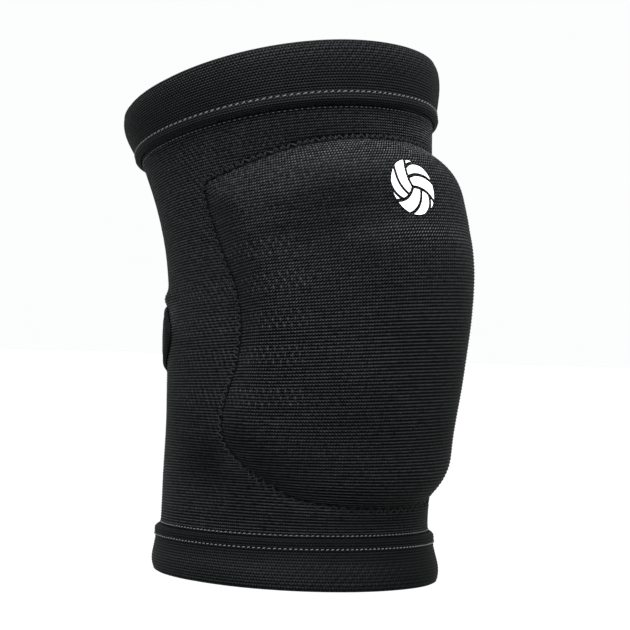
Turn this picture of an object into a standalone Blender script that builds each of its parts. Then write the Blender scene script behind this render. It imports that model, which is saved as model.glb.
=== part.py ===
import math

import bmesh
import bpy
import numpy as np

# Leg inside the pad. The knee centre is the origin, the front of the knee faces -Y, and the
# thigh leans back above the knee. Heights are arc lengths along the leg's centre line.
LEG_RADIUS = 0.060
BELOW_KNEE = 0.1122
ABOVE_KNEE = 0.0972
THIGH_LEAN = math.radians(12.8)
BEND_BELOW = 0.035
BEND_ABOVE = 0.060
SQUARENESS = 0.94

# Knitted sleeve
KNIT_WALL = 0.0018
LAYER_GAP = 0.0004

# Cuffs: doubled bands whose outer layer laps the end of the sleeve. A tilt raises the rim by
# that much at the front and lowers it by as much at the back.
UPPER_CUFF_HEIGHT = 0.0222
LOWER_CUFF_HEIGHT = 0.0196
UPPER_RIM_TILT = 0.0035
LOWER_RIM_TILT = -0.0013
CUFF_LAYER = 0.0016
CUFF_LAP = 0.009
CUFF_RIM_FLAT = 0.0008
CUFF_RIM_DROP = 0.0005

# Knee pad and the pocket that the sleeve forms over it
PAD_TOP = 0.061
PAD_BOTTOM = 0.0805
PAD_SPREAD = math.radians(85.5)
PAD_THICKNESS = 0.0180
PAD_SHOULDER = 0.020
PAD_SHOULDER_POWER = 2.2
PAD_SIDE_SHARE = 0.28
PAD_SIDE_POWER = 2.2
PAD_INSET = 0.004
PAD_CLEARANCE = 0.0009
LEDGE_HEIGHT = 0.024
LEDGE_STEP = 0.0013
LEDGE_HOLLOW = 0.0005
LEDGE_RUN = 0.008
LEDGE_FADE = 0.045
LEDGE_SPREAD = math.radians(42)

# Soft oval panel behind the knee
PANEL_CENTRE = -0.010
PANEL_HEIGHT = 0.043
PANEL_SPREAD = math.radians(62)
PANEL_THICKNESS = 0.0025
PANEL_EDGE = 0.0012

# Round printed mark above the kneecap
MARK_SIZE = 0.0245
MARK_FILM = 0.0004
MARK_HEIGHT = 0.0385
MARK_TURN = math.radians(-4.5)

# Mesh density. SHOULDER_CROWDING adds rows of the sleeve where the pocket's shoulders curve.
AROUND = 48
SLEEVE_ROWS = 35
SHOULDER_CROWDING = 1.1
PAD_SPOKES = 40
PAD_RINGS = 7
PANEL_SPOKES = 32
PANEL_RINGS = 8
MARK_SPOKES = 24
MARK_RINGS = 3

# Steps for the centre line and for slopes, the weld between rows, and the shading's sharp edges
CENTRE_STEP = 0.0005
SLOPE_STEP = 0.0005
WELD_DISTANCE = 0.000001
SHARP_EDGE = math.radians(50)

# Inner face of the sleeve. height is a share of BELOW_KNEE (negative) or ABOVE_KNEE,
# and side, front and back are shares of LEG_RADIUS.
SECTIONS = np.array(
    [
        (-1.00, 0.955, 0.950, 0.945),
        (-0.81, 0.920, 0.885, 0.945),
        (-0.63, 0.915, 0.905, 0.940),
        (-0.44, 0.912, 0.920, 0.922),
        (-0.25, 0.925, 0.942, 0.915),
        (-0.07, 0.926, 0.948, 0.908),
        (0.14, 0.917, 0.960, 0.892),
        (0.35, 0.922, 0.970, 0.897),
        (0.57, 0.957, 0.998, 0.930),
        (0.74, 1.005, 1.028, 0.985),
        (0.87, 1.045, 1.058, 1.040),
        (1.00, 1.080, 1.085, 1.090),
    ],
    dtype=[("height", float), ("side", float), ("front", float), ("back", float)],
)

# Sewn outline of the pocket, from the top centre down one side. reach is a share of
# PAD_SPREAD, and height a share of PAD_TOP or (negative) PAD_BOTTOM.
POCKET_OUTLINE = np.array(
    [
        (0.00, 1.000),
        (0.40, 0.980),
        (0.62, 0.940),
        (0.84, 0.890),
        (0.98, 0.860),
        (1.00, 0.780),
        (0.98, 0.550),
        (0.93, 0.320),
        (0.87, 0.100),
        (0.845, -0.10),
        (0.87, -0.29),
        (0.92, -0.43),
        (0.95, -0.56),
        (0.93, -0.67),
        (0.84, -0.77),
        (0.70, -0.87),
        (0.54, -0.945),
        (0.30, -0.985),
        (0.00, -1.000),
    ],
    dtype=[("reach", float), ("height", float)],
)

# Stand-out of the pocket. height is as in POCKET_OUTLINE, and stand a share of PAD_THICKNESS.
POCKET_RISE = np.array(
    [
        (-1.00, 0.58),
        (-0.75, 0.54),
        (-0.50, 0.63),
        (-0.25, 0.76),
        (0.00, 0.93),
        (0.25, 1.00),
        (0.50, 0.93),
        (0.75, 0.79),
        (1.00, 0.80),
    ],
    dtype=[("height", float), ("stand", float)],
)

# Outer face of a cuff. rise is a share of the cuff's height from its foot to its rim, and
# stand a share of CUFF_LAYER beyond the sleeve that the cuff laps.
UPPER_CUFF_FACE = np.array(
    [
        (0.00, 0.40),
        (0.03, 1.00),
        (0.13, 1.22),
        (0.21, 0.82),
        (0.33, 1.02),
        (0.92, 1.00),
        (0.985, 0.66),
    ],
    dtype=[("rise", float), ("stand", float)],
)
LOWER_CUFF_FACE = np.array(
    [
        (0.00, 0.40),
        (0.04, 0.95),
        (0.17, 1.20),
        (0.30, 0.90),
        (0.42, 1.02),
        (0.92, 1.02),
        (0.985, 0.70),
    ],
    dtype=[("rise", float), ("stand", float)],
)


def smooth_through(x, knots, values):
    """Cubic curve through the values at the knots."""
    slopes = np.gradient(values, knots)
    i = np.clip(np.searchsorted(knots, x) - 1, 0, len(knots) - 2)
    span = knots[i + 1] - knots[i]
    t = np.clip((x - knots[i]) / span, 0, 1)
    start = (2 * t**3 - 3 * t**2 + 1) * values[i] + (t**3 - 2 * t**2 + t) * span * slopes[i]
    end = (3 * t**2 - 2 * t**3) * values[i + 1] + (t**3 - t**2) * span * slopes[i + 1]
    return start + end


def smooth_step(t):
    t = np.clip(t, 0, 1)
    return t * t * (3 - 2 * t)


def centre_line():
    """Heights, and the centre line's y, z and lean at each of them."""
    below = np.arange(0, -BELOW_KNEE - LEG_RADIUS, -CENTRE_STEP)[::-1]
    above = np.arange(0, ABOVE_KNEE + LEG_RADIUS, CENTRE_STEP)
    height = np.concatenate([below, above[1:]])
    lean = THIGH_LEAN * smooth_step((height + BEND_BELOW) / (BEND_BELOW + BEND_ABOVE))
    run = np.diff(height)
    y = np.concatenate([[0], np.cumsum(np.sin((lean[1:] + lean[:-1]) / 2) * run)])
    z = np.concatenate([[0], np.cumsum(np.cos((lean[1:] + lean[:-1]) / 2) * run)])
    return height, y - np.interp(0, height, y), z - np.interp(0, height, z), lean


CENTRE_LINE = centre_line()


def share_of(height, below, above):
    return np.where(height < 0, height / below, height / above)


def closed_outline():
    """The pocket's outline on the unrolled leg, as (distance round, height) points."""
    reach = POCKET_OUTLINE["reach"] * PAD_SPREAD * LEG_RADIUS
    share = POCKET_OUTLINE["height"]
    height = np.where(share < 0, share * PAD_BOTTOM, share * PAD_TOP)
    right = np.stack([reach, height], axis=-1)
    left = right[1:-1][::-1] * (-1, 1)
    knots = np.concatenate([right, left])
    before, after, beyond = (np.roll(knots, shift, axis=0) for shift in (1, -1, -2))
    points = []
    for t in (0, 0.25, 0.5, 0.75):
        straight = 2 * knots + (after - before) * t
        bow = (2 * before - 5 * knots + 4 * after - beyond) * t**2
        twist = (3 * knots - before - 3 * after + beyond) * t**3
        points.append((straight + bow + twist) / 2)
    return np.stack(points, axis=1).reshape(-1, 2)


OUTLINE = closed_outline()


def depth_inside(turn, height):
    """Distance inside the pocket's outline, negative outside it."""
    turn, height = np.broadcast_arrays(turn, height)
    points = np.stack([turn * LEG_RADIUS, height], axis=-1).reshape(-1, 1, 2)
    start = OUTLINE[None]
    run = np.roll(OUTLINE, -1, axis=0)[None] - start
    along = np.clip(((points - start) * run).sum(-1) / (run**2).sum(-1), 0, 1)
    nearest = np.linalg.norm(points - start - along[..., None] * run, axis=-1).min(axis=1)
    above = start[..., 1] > points[..., 1]
    crosses = above != (start[..., 1] + run[..., 1] > points[..., 1])
    level = np.where(run[..., 1] == 0, 1, run[..., 1])
    meets = start[..., 0] + run[..., 0] * (points[..., 1] - start[..., 1]) / level
    inside = (crosses & (points[..., 0] < meets)).sum(axis=1) % 2 == 1
    return np.where(inside, nearest, -nearest).reshape(turn.shape)


def pocket_rise(turn, height):
    """How far the sleeve stands off the leg over the pad."""
    turn = (turn + math.pi) % math.tau - math.pi
    depth = np.clip(depth_inside(turn, height) / PAD_SHOULDER, 0, 1)
    shoulder = 1 - (1 - depth) ** PAD_SHOULDER_POWER
    share = np.clip(share_of(height, PAD_BOTTOM, PAD_TOP), -1, 1)
    stand = smooth_through(share, POCKET_RISE["height"], POCKET_RISE["stand"])
    across = 1 - np.clip(np.abs(turn) / PAD_SPREAD, 0, 1) ** PAD_SIDE_POWER
    side = PAD_SIDE_SHARE + (1 - PAD_SIDE_SHARE) * across
    below_ledge = smooth_step((LEDGE_HEIGHT + LEDGE_RUN / 2 - height) / LEDGE_RUN)
    fading = 1 - smooth_step((LEDGE_HEIGHT - height) / LEDGE_FADE)
    spread = 1 - smooth_step(np.abs(turn) / LEDGE_SPREAD)
    ledge = ((LEDGE_STEP + LEDGE_HOLLOW) * below_ledge * fading - LEDGE_HOLLOW) * spread
    return shoulder * (PAD_THICKNESS * stand * side + ledge)


def leg_point(turn, height, bulged):
    """Point on the sleeve's inner face. turn is 0 at the front and grows toward +X."""
    turn, height = np.broadcast_arrays(np.asarray(turn, float), np.asarray(height, float))
    share = share_of(height, BELOW_KNEE, ABOVE_KNEE)
    side, front, back = (
        smooth_through(share, SECTIONS["height"], SECTIONS[column]) * LEG_RADIUS
        for column in ("side", "front", "back")
    )
    ahead, across = np.cos(turn), np.sin(turn)
    x = side * np.sign(across) * np.abs(across) ** SQUARENESS
    forward = np.where(ahead > 0, front, back) * np.sign(ahead) * np.abs(ahead) ** SQUARENESS
    if bulged:
        radius = np.hypot(x, forward)
        grown = (radius + pocket_rise(turn, height)) / radius
        x, forward = x * grown, forward * grown
    y, z, lean = (np.interp(height, CENTRE_LINE[0], row) for row in CENTRE_LINE[1:])
    return np.stack([x, y - forward * np.cos(lean), z + forward * np.sin(lean)], axis=-1)


def cloth_point(turn, height, out=0.0, bulged=True):
    """leg_point moved outward by out, square to the surface."""
    turn, height = np.broadcast_arrays(np.asarray(turn, float), np.asarray(height, float))
    step = SLOPE_STEP
    turn_step = step / LEG_RADIUS
    around = leg_point(turn + turn_step, height, bulged) - leg_point(turn - turn_step, height, bulged)
    upward = leg_point(turn, height + step, bulged) - leg_point(turn, height - step, bulged)
    normal = np.cross(around, upward)
    normal /= np.linalg.norm(normal, axis=-1, keepdims=True)
    return leg_point(turn, height, bulged) + normal * np.asarray(out, float)[..., None]


def stretch_at(turn, height, out):
    """Lengths on the cloth for one radian of turn and for one metre of height."""
    step = SLOPE_STEP
    across = cloth_point(turn + step, height, out) - cloth_point(turn - step, height, out)
    upward = cloth_point(turn, height + step, out) - cloth_point(turn, height - step, out)
    return np.linalg.norm(across) / (2 * step), np.linalg.norm(upward) / (2 * step)


def tilted(height, turn):
    """Height round the leg of a level line, whose tilt grows from a cuff's foot to its rim."""
    upper = np.clip((height - ABOVE_KNEE) / UPPER_CUFF_HEIGHT + 1, 0, 1)
    lower = np.clip((-BELOW_KNEE - height) / LOWER_CUFF_HEIGHT + 1, 0, 1)
    return height + (UPPER_RIM_TILT * upper + LOWER_RIM_TILT * lower) * np.cos(turn)


def turns_round():
    return np.arange(AROUND) * math.tau / AROUND


def clear_scene():
    for scene_object in list(bpy.data.objects):
        bpy.data.objects.remove(scene_object, do_unlink=True)


def make_material(name, colour, roughness):
    material = bpy.data.materials.new(name)
    material.use_nodes = True
    shader = material.node_tree.nodes["Principled BSDF"]
    shader.inputs["Base Color"].default_value = (*colour, 1)
    shader.inputs["Roughness"].default_value = roughness
    shader.inputs["Metallic"].default_value = 0
    return material


def make_object(name, grids, material, collection):
    """Object from (points, closed_round, closed_up) grids of rows, welded where they meet."""
    mesh_maker = bmesh.new()
    for points, closed_round, closed_up in grids:
        rows = [[mesh_maker.verts.new(point) for point in row] for row in points]
        if closed_up:
            rows.append(rows[0])
        for low, high in zip(rows, rows[1:]):
            last = len(low) if closed_round else len(low) - 1
            for i in range(last):
                j = (i + 1) % len(low)
                mesh_maker.faces.new((low[i], low[j], high[j], high[i]))
    bmesh.ops.remove_doubles(mesh_maker, verts=mesh_maker.verts, dist=WELD_DISTANCE)
    mesh = bpy.data.meshes.new(name)
    mesh_maker.to_mesh(mesh)
    mesh_maker.free()
    mesh.shade_smooth()
    mesh.set_sharp_from_angle(angle=SHARP_EDGE)
    mesh.materials.append(material)
    made = bpy.data.objects.new(name, mesh)
    collection.objects.link(made)
    return made


def add_thickness(thin, thickness):
    solidify = thin.modifiers.new("Wall", "SOLIDIFY")
    solidify.thickness = thickness
    solidify.offset = 1
    solidify.use_even_offset = True


def row_heights():
    """Heights of the sleeve's rows, closer together at the pocket's upper and lower shoulders."""
    low = -BELOW_KNEE + LOWER_CUFF_HEIGHT - CUFF_LAP
    high = ABOVE_KNEE - UPPER_CUFF_HEIGHT + CUFF_LAP
    height = np.arange(low, high + CENTRE_STEP / 2, CENTRE_STEP)
    height[-1] = high
    density = np.ones_like(height)
    for edge in (PAD_TOP - PAD_SHOULDER / 2, -PAD_BOTTOM + PAD_SHOULDER / 2):
        density += SHOULDER_CROWDING * np.exp(-(((height - edge) / PAD_SHOULDER) ** 2))
    count = np.concatenate([[0], np.cumsum((density[1:] + density[:-1]) / 2)])
    return np.interp(np.linspace(0, count[-1], SLEEVE_ROWS), count, height)


def build_sleeve(collection):
    material = make_material("black_knit", (0.018, 0.018, 0.020), 0.85)
    turn = turns_round()[None, :]
    points = cloth_point(turn, tilted(row_heights()[:, None], turn))
    sleeve = make_object("sleeve", [(points, True, False)], material, collection)
    add_thickness(sleeve, KNIT_WALL)


def build_cuff(name, foot, rim, face, collection):
    """Doubled band from its foot to its rim, with a step inside that takes the sleeve's end."""
    lip = KNIT_WALL + LAYER_GAP
    rise = rim - foot
    toward_rim = np.sign(rise)
    sleeve_end = foot + toward_rim * (CUFF_LAP + LAYER_GAP)
    outer = [(foot + rise * row["rise"], lip + CUFF_LAYER * row["stand"]) for row in face]
    top = [(rim, lip), (rim, CUFF_RIM_FLAT), (rim - toward_rim * CUFF_RIM_DROP, 0)]
    inner = [(sleeve_end, 0), (sleeve_end, lip), (foot, lip)]
    height, out = np.array(outer + top + inner).T
    if toward_rim > 0:
        height, out = height[::-1], out[::-1]
    turn = turns_round()[None, :]
    points = cloth_point(turn, tilted(height[:, None], turn), out[:, None])
    material = make_material(f"{name}_rib", (0.022, 0.022, 0.024), 0.80)
    make_object(name, [(points[::-1], True, True)], material, collection)


def inset_outline(inset):
    """The pocket's outline moved inward, anticlockwise, with PAD_SPOKES points at even distances."""
    run = np.roll(OUTLINE, -1, axis=0) - np.roll(OUTLINE, 1, axis=0)
    run /= np.linalg.norm(run, axis=1, keepdims=True)
    inward = np.stack([run[:, 1], -run[:, 0]], axis=-1)
    moved = OUTLINE + inward * inset
    closed = np.concatenate([moved, moved[:1]])
    length = np.concatenate([[0], np.cumsum(np.linalg.norm(np.diff(closed, axis=0), axis=1))])
    even = np.linspace(length[-1], 0, PAD_SPOKES, endpoint=False)
    return np.stack([np.interp(even, length, closed[:, axis]) for axis in (0, 1)], axis=-1)


def disc_grids(rim, centre, rings, inner_face, outer_face):
    """Two facing discs of rings that share their rim, as grids for make_object."""
    shares = np.linspace(1, 0, rings + 1)[:-1]
    flat = centre + (rim[None] - centre) * shares[:, None, None]
    hub = np.broadcast_to(centre, (1, *rim.shape))
    flat = np.concatenate([flat, hub])
    under = inner_face(flat[..., 0], flat[..., 1])
    over = outer_face(flat[..., 0], flat[..., 1])
    return [(np.concatenate([under[::-1], over]), True, False)]


def build_pad(collection):
    """Moulded pad that lies on the leg and fills the pocket."""
    centre = np.array([0.0, (PAD_TOP - PAD_BOTTOM) / 2])
    rim = inset_outline(PAD_INSET)

    def under(turn_length, height):
        return cloth_point(turn_length / LEG_RADIUS, height, bulged=False)

    def over(turn_length, height):
        return cloth_point(turn_length / LEG_RADIUS, height, -PAD_CLEARANCE)

    grids = disc_grids(rim, centre, PAD_RINGS, under, over)
    material = make_material("pad_cloth", (0.030, 0.030, 0.033), 0.90)
    make_object("pad_insert", grids, material, collection)


def build_panel(collection):
    """Soft oval behind the knee, thicker in the middle than at its sewn edge."""
    angle = np.arange(PANEL_SPOKES) * math.tau / PANEL_SPOKES
    centre = np.array([math.pi, PANEL_CENTRE])
    reach = np.stack([PANEL_SPREAD * np.cos(angle), PANEL_HEIGHT / 2 * np.sin(angle)], axis=-1)
    base = KNIT_WALL + LAYER_GAP

    def under(turn, height):
        return cloth_point(turn, height, base)

    def over(turn, height):
        across = ((turn - math.pi) / PANEL_SPREAD) ** 2 + (2 * (height - PANEL_CENTRE) / PANEL_HEIGHT) ** 2
        crown = np.sqrt(np.clip(1 - across, 0, 1))
        return cloth_point(turn, height, base + PANEL_EDGE + (PANEL_THICKNESS - PANEL_EDGE) * crown)

    grids = disc_grids(centre + reach, centre, PANEL_RINGS, under, over)
    material = make_material("panel_knit", (0.020, 0.020, 0.022), 0.88)
    make_object("back_panel", grids, material, collection)


def build_mark(collection):
    """Thin round film printed on the front of the sleeve, above the kneecap."""
    base = KNIT_WALL + LAYER_GAP
    turn_stretch, height_stretch = stretch_at(MARK_TURN, MARK_HEIGHT, base)
    angle = -np.arange(MARK_SPOKES) * math.tau / MARK_SPOKES
    centre = np.array([MARK_TURN, MARK_HEIGHT])
    reach = np.stack([np.cos(angle) / turn_stretch, np.sin(angle) / height_stretch], axis=-1) * MARK_SIZE / 2
    shares = np.linspace(0, 1, MARK_RINGS + 1)
    flat = centre + reach[None] * shares[:, None, None]
    points = cloth_point(flat[..., 0], flat[..., 1], base)
    material = make_material("white_print", (0.85, 0.86, 0.86), 0.45)
    mark = make_object("print_mark", [(points, True, False)], material, collection)
    add_thickness(mark, MARK_FILM)


def main():
    clear_scene()
    collection = bpy.data.collections.new("volleyball_knee_pad")
    bpy.context.scene.collection.children.link(collection)
    build_sleeve(collection)
    upper_foot = ABOVE_KNEE - UPPER_CUFF_HEIGHT
    lower_foot = LOWER_CUFF_HEIGHT - BELOW_KNEE
    build_cuff("upper_cuff", upper_foot, ABOVE_KNEE, UPPER_CUFF_FACE, collection)
    build_cuff("lower_cuff", lower_foot, -BELOW_KNEE, LOWER_CUFF_FACE, collection)
    build_pad(collection)
    build_panel(collection)
    build_mark(collection)


main()
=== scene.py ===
import math

import bpy
import numpy as np
from mathutils import Matrix, Vector
from mathutils.geometry import delaunay_2d_cdt


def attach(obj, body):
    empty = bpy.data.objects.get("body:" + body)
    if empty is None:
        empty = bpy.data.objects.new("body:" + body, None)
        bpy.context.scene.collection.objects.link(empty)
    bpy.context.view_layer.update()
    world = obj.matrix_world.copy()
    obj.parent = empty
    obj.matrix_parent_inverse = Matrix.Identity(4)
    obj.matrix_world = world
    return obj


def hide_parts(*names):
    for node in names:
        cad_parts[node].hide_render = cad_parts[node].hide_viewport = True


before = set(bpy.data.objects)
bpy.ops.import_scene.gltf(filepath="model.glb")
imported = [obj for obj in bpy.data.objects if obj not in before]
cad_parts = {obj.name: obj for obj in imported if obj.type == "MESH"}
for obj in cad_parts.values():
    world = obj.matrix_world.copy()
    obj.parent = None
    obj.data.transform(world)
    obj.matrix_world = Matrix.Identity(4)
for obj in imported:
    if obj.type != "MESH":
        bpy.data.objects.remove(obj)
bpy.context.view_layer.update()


def table(columns, rows):
    return np.array(rows, dtype=[(name, float) for name in columns.split()])


# The leg that the pad is knitted for, as in the part's own source. turn is 0 at the front of the
# knee and grows toward +X, height is measured along the leg's bent centre line.
legForm = {
    "radius": 0.060,
    "belowKnee": 0.1122,
    "aboveKnee": 0.0972,
    "thighLean": math.radians(12.8),
    "bendBelow": 0.035,
    "bendAbove": 0.060,
    "squareness": 0.94,
    "wall": 0.0018,
    "layerGap": 0.0004,
    "upperCuff": 0.0222,
    "lowerCuff": 0.0196,
    "upperTilt": 0.0035,
    "lowerTilt": -0.0013,
    "cuffLayer": 0.0016,
    "cuffLap": 0.009,
    "normalStep": 0.0010,
}
outerWall = legForm["wall"] + legForm["layerGap"]
legSections = table("height side front back", [
    (-1.00, 0.955, 0.950, 0.945),
    (-0.81, 0.920, 0.885, 0.945),
    (-0.63, 0.915, 0.905, 0.940),
    (-0.44, 0.912, 0.920, 0.922),
    (-0.25, 0.925, 0.942, 0.915),
    (-0.07, 0.926, 0.948, 0.908),
    (0.14, 0.917, 0.960, 0.892),
    (0.35, 0.922, 0.970, 0.897),
    (0.57, 0.957, 0.998, 0.930),
    (0.74, 1.005, 1.028, 0.985),
    (0.87, 1.045, 1.058, 1.040),
    (1.00, 1.080, 1.085, 1.090),
])

# The pocket over the knee pad: its sewn outline and how far it stands off the leg
pocketForm = {
    "top": 0.061,
    "bottom": 0.0805,
    "spread": math.radians(85.5),
    "thickness": 0.0180,
    "shoulder": 0.020,
    "seamSlack": 0.0026,
    "shoulderPower": 2.2,
    "sideShare": 0.28,
    "sidePower": 2.2,
    "ledgeHeight": 0.024,
    "ledgeStep": 0.0013,
    "ledgeHollow": 0.0005,
    "ledgeRun": 0.008,
    "ledgeFade": 0.045,
    "ledgeSpread": math.radians(42),
    "inset": 0.004,
    "clearance": 0.0009,
}
pocketOutline = table("reach height", [
    (0.00, 1.000),
    (0.40, 0.980),
    (0.62, 0.940),
    (0.84, 0.890),
    (0.98, 0.860),
    (1.00, 0.780),
    (0.98, 0.550),
    (0.93, 0.320),
    (0.87, 0.100),
    (0.845, -0.10),
    (0.87, -0.29),
    (0.92, -0.43),
    (0.95, -0.56),
    (0.93, -0.67),
    (0.84, -0.77),
    (0.70, -0.87),
    (0.54, -0.945),
    (0.30, -0.985),
    (0.00, -1.000),
])
pocketStand = table("height stand", [
    (-1.00, 0.58),
    (-0.75, 0.54),
    (-0.50, 0.63),
    (-0.25, 0.76),
    (0.00, 0.93),
    (0.25, 1.00),
    (0.50, 0.93),
    (0.75, 0.79),
    (1.00, 0.80),
])


def smoothThrough(x, knots, values):
    slopes = np.gradient(values, knots)
    i = np.clip(np.searchsorted(knots, x) - 1, 0, len(knots) - 2)
    span = knots[i + 1] - knots[i]
    t = np.clip((x - knots[i]) / span, 0, 1)
    start = (2 * t**3 - 3 * t**2 + 1) * values[i] + (t**3 - 2 * t**2 + t) * span * slopes[i]
    end = (3 * t**2 - 2 * t**3) * values[i + 1] + (t**3 - t**2) * span * slopes[i + 1]
    return start + end


def smoothStep(t):
    t = np.clip(t, 0, 1)
    return t * t * (3 - 2 * t)


def bellCurve(x, width):
    return np.exp(-((x / width) ** 2))


def wrapped(turn):
    return (turn + math.pi) % math.tau - math.pi


def evenTurns(count):
    return np.arange(count) * math.tau / count


def sameShape(turn, height):
    return np.broadcast_arrays(np.asarray(turn, float), np.asarray(height, float))


# Distance along a path at each of its points
def runLength(points):
    return np.concatenate([[0], np.cumsum(np.linalg.norm(np.diff(points, axis=0), axis=1))])


def bentCentre(step=0.0005):
    low = -legForm["belowKnee"] - legForm["radius"]
    high = legForm["aboveKnee"] + legForm["radius"]
    height = np.arange(low, high, step)
    bend = legForm["bendBelow"] + legForm["bendAbove"]
    lean = legForm["thighLean"] * smoothStep((height + legForm["bendBelow"]) / bend)
    middle = (lean[1:] + lean[:-1]) / 2
    y = np.concatenate([[0], np.cumsum(np.sin(middle) * step)])
    z = np.concatenate([[0], np.cumsum(np.cos(middle) * step)])
    return height, y - np.interp(0, height, y), z - np.interp(0, height, z), lean


centreLine = bentCentre()


# Sewn outline on the unrolled leg, rounded through the table's points
def seamOutline(parts=(0, 0.25, 0.5, 0.75)):
    reach = pocketOutline["reach"] * pocketForm["spread"] * legForm["radius"]
    share = pocketOutline["height"]
    height = np.where(share < 0, share * pocketForm["bottom"], share * pocketForm["top"])
    right = np.stack([reach, height], axis=-1)
    knots = np.concatenate([right, right[1:-1][::-1] * (-1, 1)])
    before, after, beyond = (np.roll(knots, shift, axis=0) for shift in (1, -1, -2))
    points = []
    for t in parts:
        straight = 2 * knots + (after - before) * t
        bow = (2 * before - 5 * knots + 4 * after - beyond) * t**2
        twist = (3 * knots - before - 3 * after + beyond) * t**3
        points.append((straight + bow + twist) / 2)
    return np.stack(points, axis=1).reshape(-1, 2)


outline = seamOutline()


# How deep the points lie inside the outline, negative outside it, one row at a time
def seamDistance(around, height):
    points = np.stack([around, np.full_like(around, height)], axis=-1)[:, None]
    run = np.roll(outline, -1, axis=0) - outline
    along = np.clip(((points - outline) * run).sum(-1) / (run**2).sum(-1), 0, 1)
    nearest = np.linalg.norm(points - outline - along[..., None] * run, axis=-1).min(axis=1)
    above = outline[:, 1] > height
    crosses = above != (outline[:, 1] + run[:, 1] > height)
    level = np.where(run[:, 1] == 0, 1, run[:, 1])
    meets = outline[:, 0] + run[:, 0] * (height - outline[:, 1]) / level
    inside = (crosses & (points[..., 0] < meets)).sum(axis=1) % 2 == 1
    return np.where(inside, nearest, -nearest)


seamMap = {"low": -0.128, "high": 0.112, "columns": 481, "rows": 321}
mapTurns = np.linspace(-math.pi, math.pi, seamMap["columns"])
mapHeights = np.linspace(seamMap["low"], seamMap["high"], seamMap["rows"])
mapDepths = np.array([seamDistance(mapTurns * legForm["radius"], h) for h in mapHeights])


# The distance to the pocket's seam, read from the map made above
def depthInside(turn, height):
    across = (wrapped(turn) + math.pi) / math.tau * (seamMap["columns"] - 1)
    up = (height - seamMap["low"]) / (seamMap["high"] - seamMap["low"]) * (seamMap["rows"] - 1)
    i = np.clip(across.astype(int), 0, seamMap["columns"] - 2)
    j = np.clip(up.astype(int), 0, seamMap["rows"] - 2)
    s, t = across - i, np.clip(up - j, 0, 1)
    lower = mapDepths[j, i] * (1 - s) + mapDepths[j, i + 1] * s
    upper = mapDepths[j + 1, i] * (1 - s) + mapDepths[j + 1, i + 1] * s
    return lower * (1 - t) + upper * t


def pocketRise(turn, height):
    turn = wrapped(turn)
    depth = np.maximum(depthInside(turn, height), 0)
    # the cloth leaves the leg gently at the seam, then climbs over the pad
    slack = pocketForm["seamSlack"]
    depth -= slack * (1 - np.exp(-depth / slack))
    depth = np.clip(depth / (pocketForm["shoulder"] - slack), 0, 1)
    shoulder = 1 - (1 - depth) ** pocketForm["shoulderPower"]
    share = np.where(height < 0, height / pocketForm["bottom"], height / pocketForm["top"])
    stand = smoothThrough(np.clip(share, -1, 1), pocketStand["height"], pocketStand["stand"])
    across = 1 - np.clip(np.abs(turn) / pocketForm["spread"], 0, 1) ** pocketForm["sidePower"]
    side = pocketForm["sideShare"] + (1 - pocketForm["sideShare"]) * across
    run = pocketForm["ledgeRun"]
    belowLedge = smoothStep((pocketForm["ledgeHeight"] + run / 2 - height) / run)
    fading = 1 - smoothStep((pocketForm["ledgeHeight"] - height) / pocketForm["ledgeFade"])
    spread = 1 - smoothStep(np.abs(turn) / pocketForm["ledgeSpread"])
    hollow = pocketForm["ledgeHollow"]
    ledge = ((pocketForm["ledgeStep"] + hollow) * belowLedge * fading - hollow) * spread
    return shoulder * (pocketForm["thickness"] * stand * side + ledge)


def legPoint(turn, height, bulged=True):
    turn, height = sameShape(turn, height)
    share = np.where(height < 0, height / legForm["belowKnee"], height / legForm["aboveKnee"])
    side, front, back = (
        smoothThrough(share, legSections["height"], legSections[column]) * legForm["radius"]
        for column in ("side", "front", "back")
    )
    ahead, across = np.cos(turn), np.sin(turn)
    power = legForm["squareness"]
    x = side * np.sign(across) * np.abs(across) ** power
    forward = np.where(ahead > 0, front, back) * np.sign(ahead) * np.abs(ahead) ** power
    if bulged:
        radius = np.hypot(x, forward)
        grown = (radius + pocketRise(turn, height)) / radius
        x, forward = x * grown, forward * grown
    y, z, lean = (np.interp(height, centreLine[0], row) for row in centreLine[1:])
    return np.stack([x, y - forward * np.cos(lean), z + forward * np.sin(lean)], axis=-1)


def outwardAt(turn, height, bulged=True):
    step = legForm["normalStep"]
    aside = step / legForm["radius"]
    around = legPoint(turn + aside, height, bulged) - legPoint(turn - aside, height, bulged)
    upward = legPoint(turn, height + step, bulged) - legPoint(turn, height - step, bulged)
    normal = np.cross(around, upward)
    return normal / np.linalg.norm(normal, axis=-1, keepdims=True)


def clothPoint(turn, height, out=0.0, bulged=True):
    turn, height = sameShape(turn, height)
    normal = outwardAt(turn, height, bulged)
    return legPoint(turn, height, bulged) + normal * np.asarray(out, float)[..., None]


# A level line round the leg, tilted toward the rims as the cuffs are
def tilted(height, turn):
    upper = np.clip((height - legForm["aboveKnee"]) / legForm["upperCuff"] + 1, 0, 1)
    lower = np.clip((-legForm["belowKnee"] - height) / legForm["lowerCuff"] + 1, 0, 1)
    return height + (legForm["upperTilt"] * upper + legForm["lowerTilt"] * lower) * np.cos(turn)


# Mesh helpers

def makePiece(name, mesh):
    piece = bpy.data.objects.new(name, mesh)
    bpy.context.scene.collection.objects.link(piece)
    return piece


def fillLayer(layer, key, values):
    layer.data.foreach_set(key, np.asarray(values, np.float32).reshape(-1))


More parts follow.
